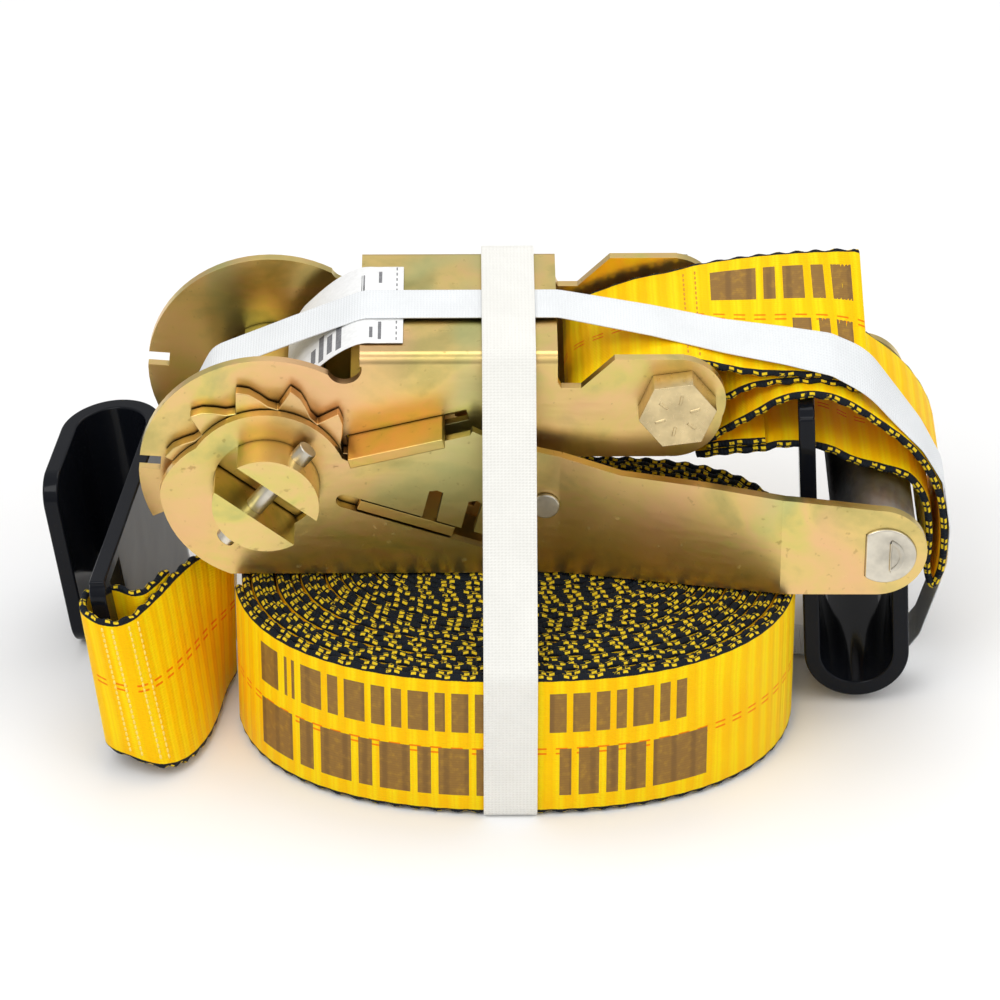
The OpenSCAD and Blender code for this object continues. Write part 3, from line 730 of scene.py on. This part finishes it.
def coil_prints(strip):
    """Plain bars and blocks on the front of the outermost turn: runs of narrow bars over runs of wide ones."""
    front = (strip.low[:, 1] < COIL[1]) & (strip.gone < FRONT_END)
    x, gone = strip.low[front, 0] - COIL[0], strip.gone[front]
    order = np.argsort(x)

    def along(place):
        return float(np.interp(place, x[order], gone[order]))

    boxes = bars(along, -76, (5, 3, 6, 3, 6, 4, 3, 6, 3, 5, 4, 3), 1.9, *NARROW_ROW)
    boxes += bars(along, 9, (5, 5, 4, 3, 6, 3, 3), 1.9, *NARROW_ROW)
    boxes += bars(along, -76, (9, 4, 9, 4, 9, 4, 9, 4), 2.2, *WIDE_ROW)
    boxes += bars(along, 12, (3.5, 6, 3.5, 6, 16), 2.2, *WIDE_ROW)
    trim(strip.patches("coil_bars", boxes, INK), "root")


coil_prints(build_coil())


# ---------------------------------------------------------------- the tail round the left hook
# Its lower and upper edges from the coil round the hook's bar: x, y, z from the coil's centre.
TAIL_LOW = [[-87.6, 12, 0.8], [-90.3, 2, 0.8], [-92.3, -12, 0.9], [-95.3, -25, 1.3], [-100.4, -36, 2.3],
            [-107.2, -41.5, 4], [-115.4, -40.4, 6.6], [-123, -35.6, 7.7], [-122.6, -25.6, 7.7],
            [-115.2, -22.2, 7.7], [-108.2, -23.4, 6.2], [-101.2, -21, 4.2], [-96.4, -15, 3.2]]
TAIL_HIGH = [[-87.6, 13, 50.2], [-91, 9.4, 50.2], [-97.8, 4.2, 50.2], [-103.4, -6, 51.2], [-109.2, -20, 52.5],
             [-116.6, -35.2, 54.5], [-123.4, -38.4, 56.0], [-129.4, -33, 57.0], [-128.6, -24, 57.0],
             [-121.4, -21.4, 57.0], [-114.8, -22.4, 55.4], [-111.2, -17.5, 53.9], [-106.4, -5.4, 52]]


def build_tail():
    """The webbing's own end, folded round the bar and sewn, with the seams on its outer face."""
    both = smooth_curve(np.hstack([np.array(TAIL_HIGH) + COIL, np.array(TAIL_LOW) + COIL]), STEP)
    strip = Strip(both[:, :3], both[:, 3:], STRAP_T)
    tail = strip.mesh("tail_wrapped", WEBBING, scallop=SCALLOP, nominal=STRAP_W)
    soft_piece(tail, "root", "webbing_tail")
    fold = float(strip.gone[np.argmin(strip.low[:, 1])])
    rows = [(fold + d, 2.4, 48.4) for d in (1.5, -1.6, -6.6, -9.7)]
    thread = strip.stitches("tail_stitches", rows, THREAD_PALE, pitch=1.9, length=1.7, radius=0.42)
    trim(thread, "root")


build_tail()


# ---------------------------------------------------------------- the short strap
# The eye from the spool's axis: x, z over the bolt's sleeve and back under it, then x, z and how far each edge
# has moved across, out to the slanting fold.
EYE_TOP = [[92.6, 13.0], [90.4, 19], [93.6, 24.4], [102, 28.6], [112, 32.4], [122.5, 34.8]]
EYE_BACK = [[97.5, 9.8], [108, 9.6], [122.5, 12.4]]
TOP_LOW = [[131, 32.2, 0], [144.8, 29.0, 0], [159.3, 28.2, 0], [170.2, 26.6, 1], [178.6, 22.2, 3]]
TOP_HIGH = [[131, 36.8, 0], [146, 40.2, -1], [159, 42.8, -3], [168, 45.2, -6], [177, 48.0, -10]]
BACK_LOW = [[137.6, 22.4, 0], [146, 26.6, 0], [159.3, 28.2, 0], [170.2, 26.6, 1], [178.6, 22.2, 3]]
BACK_HIGH = [[137, 30, 0], [147, 38.6, -1], [159, 42.6, -3], [168, 45.2, -6], [177, 48.0, -10]]
EYE_T = 2.0  # a little pressed
FOLD_REACH = 1.1  # of the slanting fold beyond the layers' ends
LAYER_RISE, LAYER_DROP = 0.7, -1.5  # of the upper and the lower layer beyond the sleeve
# The loop over the grip, round the right hook's bar and back: x, z and its middle's y from the coil's centre.
LOOP = [[47, 85.4, 32], [54.7, 88, 31], [64, 95.6, 29], [71, 101, 27.5], [79, 106.4, 27], [88, 108, 27],
        [97, 105.6, 27], [108, 98, 27], [119, 88, 27], [126.6, 75, 27], [129.4, 60, 27], [129.2, 46, 27],
        [126.8, 39.6, 27], [124.8, 46, 27], [125, 58, 27], [123.2, 70, 27], [118, 78.6, 27], [110, 82, 27],
        [101, 84.8, 27], [92, 89.4, 27], [80, 90.6, 27], [73, 88.8, 27.4], [64, 86.6, 29.5], [54, 83.6, 32]]
# The sewn end, a second layer on the loop, in the same way.
SEWN_END = [[57, 87.2, 31.2], [64, 89.3, 29.5], [70, 90.7, 28], [74.5, 91.4, 27.3]]


def bend_with_frame(*objs):
    """Bakes each object's placement into its mesh; the strap is hung on no body."""
    for obj in objs:
        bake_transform(obj)


def build_eye():
    """Round the bolt's sleeve, out to a slanting fold, and back under itself to the sleeve."""
    near, far = -STRAP_W / 2, STRAP_W / 2

    def edges(rows, out_low, out_high, lift):
        low = [[x, near, z] for x, z in rows] + [[x, near + y, z + lift] for x, z, y in out_low]
        high = [[x, far, z] for x, z in rows] + [[x, far + y, z + lift] for x, z, y in out_high]
        return np.array(low), np.array(high)

    top_low, top_high = edges(EYE_TOP, TOP_LOW, TOP_HIGH, LAYER_RISE)
    back_low, back_high = edges(EYE_BACK, BACK_LOW, BACK_HIGH, LAYER_DROP)
    low, high = (np.vstack([top, (top[-1] + back[-1]) / 2 + [FOLD_REACH, 0, 0], back[::-1]])
                 for top, back in ((top_low, back_low), (top_high, back_high)))
    both = smooth_curve(np.hstack([low + SPOOL, high + SPOOL]), STEP)
    strip = Strip(both[:, :3], both[:, 3:], EYE_T)
    eye = strip.mesh("strap_eye_folded", WEBBING, scallop=SCALLOP, nominal=STRAP_W)
    soft_piece(eye, None, "strap_eye")
    outer = int(np.argmax(strip.high[:, 0]))
    first = int(np.argmin(strip.high[:outer, 0]))

    def along(x):
        return float(np.interp(x + SPOOL[0], strip.high[first:outer, 0], strip.gone[first:outer]))

    boxes = bars(along, 134.0, (14, 3.5, 6, 3.5, 6), 2.2, 31.0, 44.5)
    boxes += bars(along, 158.0, (5, 3, 5), 2.0, 12.0, 23.0)
    ink = strip.patches("strap_bars", boxes, INK)
    rows = [(along(x), 3, 48) for x in (126.0, 129.5)]
    thread = strip.stitches("strap_stitches", rows, THREAD, pitch=2.6, length=2.0, radius=0.3)
    bend_with_frame(eye, ink, thread)


def level_strap(name, points, node=None):
    """A stretch of the short strap that lies level across Y, as a mesh that rides on nothing yet."""
    path = smooth_curve(points, STEP)
    low, high = level(path[:, :2] + [COIL[0], 0], path[:, 2] + COIL[1], STRAP_W)
    strip = Strip(low, high, STRAP_T)
    return soft_piece(strip.mesh(name, WEBBING, scallop=SCALLOP, nominal=STRAP_W), None, node)


def build_loop():
    """The outer end of the short strap, and the sewn end that shows as a second layer on it."""
    loop = level_strap("strap_loop_folded", LOOP, "strap_loop")
    sewn = level_strap("strap_end_sewn", SEWN_END)
    bend_with_frame(loop, sewn)


build_eye()
build_loop()


# ---------------------------------------------------------------- the bands and the tag
WEB_TOP = 39.8  # of the frame's web over the spool's axis
UNDER = 1.1  # middle of the long band in its groove under the coil
TAG_W = 44.0
WIDE_BAND_X = -10.5  # the wide band's left edge from the coil's centre


def fold_flat(*objs):
    """Gives each band a mesh of its own."""
    for obj in objs:
        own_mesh(obj)


def build_wide_band():
    """Round the bundle crosswise: y from the coil's centre and z, from the coil's front up over the frame."""
    side, web_z = COIL_B + 0.8, SPOOL[2] + WEB_TOP + 2.2
    corners = [[-side, 0.3], [-side, 25], [-side, 50.8], [-0.6, web_z - 1.9], [3, web_z], [32, web_z + 0.2],
               [61, web_z], [64.8, web_z - 2], [69.6, 112], [73.4, 99], [73.4, 75], [73.4, 49],
               [side + 0.2, 38], [side, 20], [side, 0.3], [30, 0.3], [-30, 0.3]]
    path = filleted_ring(corners, [3.0] * len(corners), 1.6)
    left = np.stack([np.full(len(path), COIL[0] + WIDE_BAND_X), path[:, 0] + COIL[1], path[:, 1]], axis=1)
    strip = Strip(left + [BAND_W, 0, 0], left, BAND_T, closed=True)
    band = strip.mesh("wide_band_wrapped", BAND, middle=7)
    return soft_piece(band, "root", "wide_band")


def build_long_band():
    """Round the bundle lengthwise: x, y and z from the coil's centre, and the band's tilt in degrees."""
    web_z = SPOOL[2] + WEB_TOP + 1.3
    over = [[-87, 29, UNDER, 0], [-87.4, 29, 30, 0], [-90.5, 29, 55, 0], [-98, 29, 92, 0], [-92, 29, 104.5, 0],
            [-68, 29, 115, 0], [-46, 29, web_z, 0], [-10, 29, web_z, 0], [12.5, 29, web_z, 0],
            [40, 24, 121.2, 4], [62, 19, 118.6, 8], [80, 15, 117.6, 14], [94, 13, 115.6, 22],
            [105, 12, 110, 30], [113, 12, 99.4, 20], [122, 10.5, 88.6, 6], [128.8, 10, 76, 0],
            [131.2, 10, 60, 0]]
    under = [[131, 12, 46, 0], [129, 14, 36, 0], [124.5, 18, 16, 0], [117, 22, UNDER, 0], [100, 26, UNDER, 0],
             [88, 29, UNDER, 0], [0, 29, UNDER, 0]]
    path = filleted_ring(over + under, [9.0] * len(over) + [2.0] * len(under), 1.6)
    tilt = np.radians(path[:, 3])
    half = np.stack([0 * tilt, np.cos(tilt), np.sin(tilt)], axis=1) * BAND_W / 2
    middle = path[:, :3] + COIL
    strip = Strip(middle - half, middle + half, BAND_T, closed=True)
    band = strip.mesh("long_band_wrapped", BAND_COOL, middle=7)
    return soft_piece(band, "root", "long_band")


def build_tag():
    """The paper tag, curled up from the spool on to the frame's web, with plain lines in place of its print."""
    path = smooth_curve([[6, 19], [9, 24], [12, 28], [20, 35.6], [27.5, WEB_TOP + 0.1], [34, WEB_TOP + 0.5],
                         [41, WEB_TOP + 0.5]], 1.0)
    low, high = level(path + [SPOOL[0], SPOOL[2]], SPOOL[1] - 2, TAG_W)
    strip = Strip(low, high, 0.35)
    soft_piece(strip.mesh("tag_curled", TAG, middle=5), "frame_arm", "tag")
    end = strip.length
    boxes = [(end - 2.2, end - 1.8, 1.5 + 3.1 * k, 3.1 + 3.1 * k) for k in range(14)]
    for k, (a, b) in enumerate(((2, 12), (14, 18), (28, 33), (34.5, 41), (3, 9), (30, 39))):
        boxes.append((end - 7.5 - 2.6 * (k % 3), end - 6.5 - 2.6 * (k % 3), a, b))
    for k, (a, b) in enumerate(((2, 15), (3, 13), (2, 16), (4, 12))):
        boxes.append((end - 21 - 3.4 * k, end - 19 - 3.4 * k, a, b))
    trim(strip.patches("tag_lines", boxes, TAG_INK, height=0.02, thickness=0.03), "frame_arm")


fold_flat(build_wide_band(), build_long_band())
build_tag()


# ---------------------------------------------------------------- camera, light and floor
def build_camera():
    """Looks at the bundle from the front and above, as a photographer with a long lens would."""
    azimuth, elevation = math.radians(0.44), math.radians(33.3)
    distance, lens = 1.6, 192.7
    aside, above = -0.00565, 0.0947  # of the picture's middle from the foot of the coil's front
    ahead = Vector((math.sin(azimuth) * math.cos(elevation), math.cos(azimuth) * math.cos(elevation),
                    -math.sin(elevation)))
    right = Vector((math.cos(azimuth), -math.sin(azimuth), 0))
    up = right.cross(ahead)
    front = Vector((COIL[0], COIL[1] - COIL_B, 0)) * MM
    place = front + right * aside + up * above - ahead * distance
    camera = bpy.data.objects.new("camera", bpy.data.cameras.new("camera"))
    camera.data.lens, camera.data.sensor_width = lens, 36
    camera.location = place
    camera.rotation_euler = ahead.to_track_quat("-Z", "Y").to_euler()
    bpy.context.scene.collection.objects.link(camera)
    bpy.context.scene.camera = camera


def area_light(name, place, size, power):
    """A square soft light that is turned to the bundle."""
    light = bpy.data.lights.new(name, "AREA")
    light.shape, light.size, light.energy = "SQUARE", size, power
    obj = bpy.data.objects.new(name, light)
    obj.location = place
    obj.rotation_euler = (Vector((0, 0, 0.05)) - Vector(place)).to_track_quat("-Z", "Y").to_euler()
    bpy.context.scene.collection.objects.link(obj)


def build_floor():
    g = Graph("floor_white")
    haze = g.noise(g.position(), 3, 2)
    white = g.ramp(haze, [(0.2, (0.93, 0.93, 0.93)), (0.8, (0.95, 0.95, 0.95))])
    g.set(base_color=white, roughness=0.9)
    size, below = 4000, -0.2
    corners = [(-size, -size, below), (size, -size, below), (size, size, below), (-size, size, below)]
    mesh_object("floor", corners, [(0, 1, 2, 3)], g.mat)


def build_sky():
    """Grey below and white above, as in a light tent."""
    world = bpy.data.worlds.new("studio")
    world.use_nodes = True
    tree = world.node_tree
    back = tree.nodes["Background"]
    split = tree.nodes.new("ShaderNodeSeparateXYZ")
    ramp = tree.nodes.new("ShaderNodeValToRGB")
    tree.links.new(tree.nodes.new("ShaderNodeTexCoord").outputs["Generated"], split.inputs[0])
    tree.links.new(split.outputs[2], ramp.inputs[0])
    tree.links.new(ramp.outputs[0], back.inputs[0])
    stops = ((0.0, (0.50, 0.50, 0.51, 1)), (0.7, (1.0, 1.0, 1.0, 1)))
    for element, (at, colour) in zip(ramp.color_ramp.elements, stops):
        element.position, element.color = at, colour
    back.inputs[1].default_value = 0.80
    bpy.context.scene.world = world


bpy.context.scene.view_settings.view_transform = "Standard"
build_camera()
build_floor()
build_sky()
area_light("key", (-0.5, -0.7, 1.1), 0.7, 5.5)
area_light("fill", (0.9, -0.5, 0.8), 0.9, 2.6)
area_light("top", (0.1, 0.5, 1.2), 0.8, 3.4)
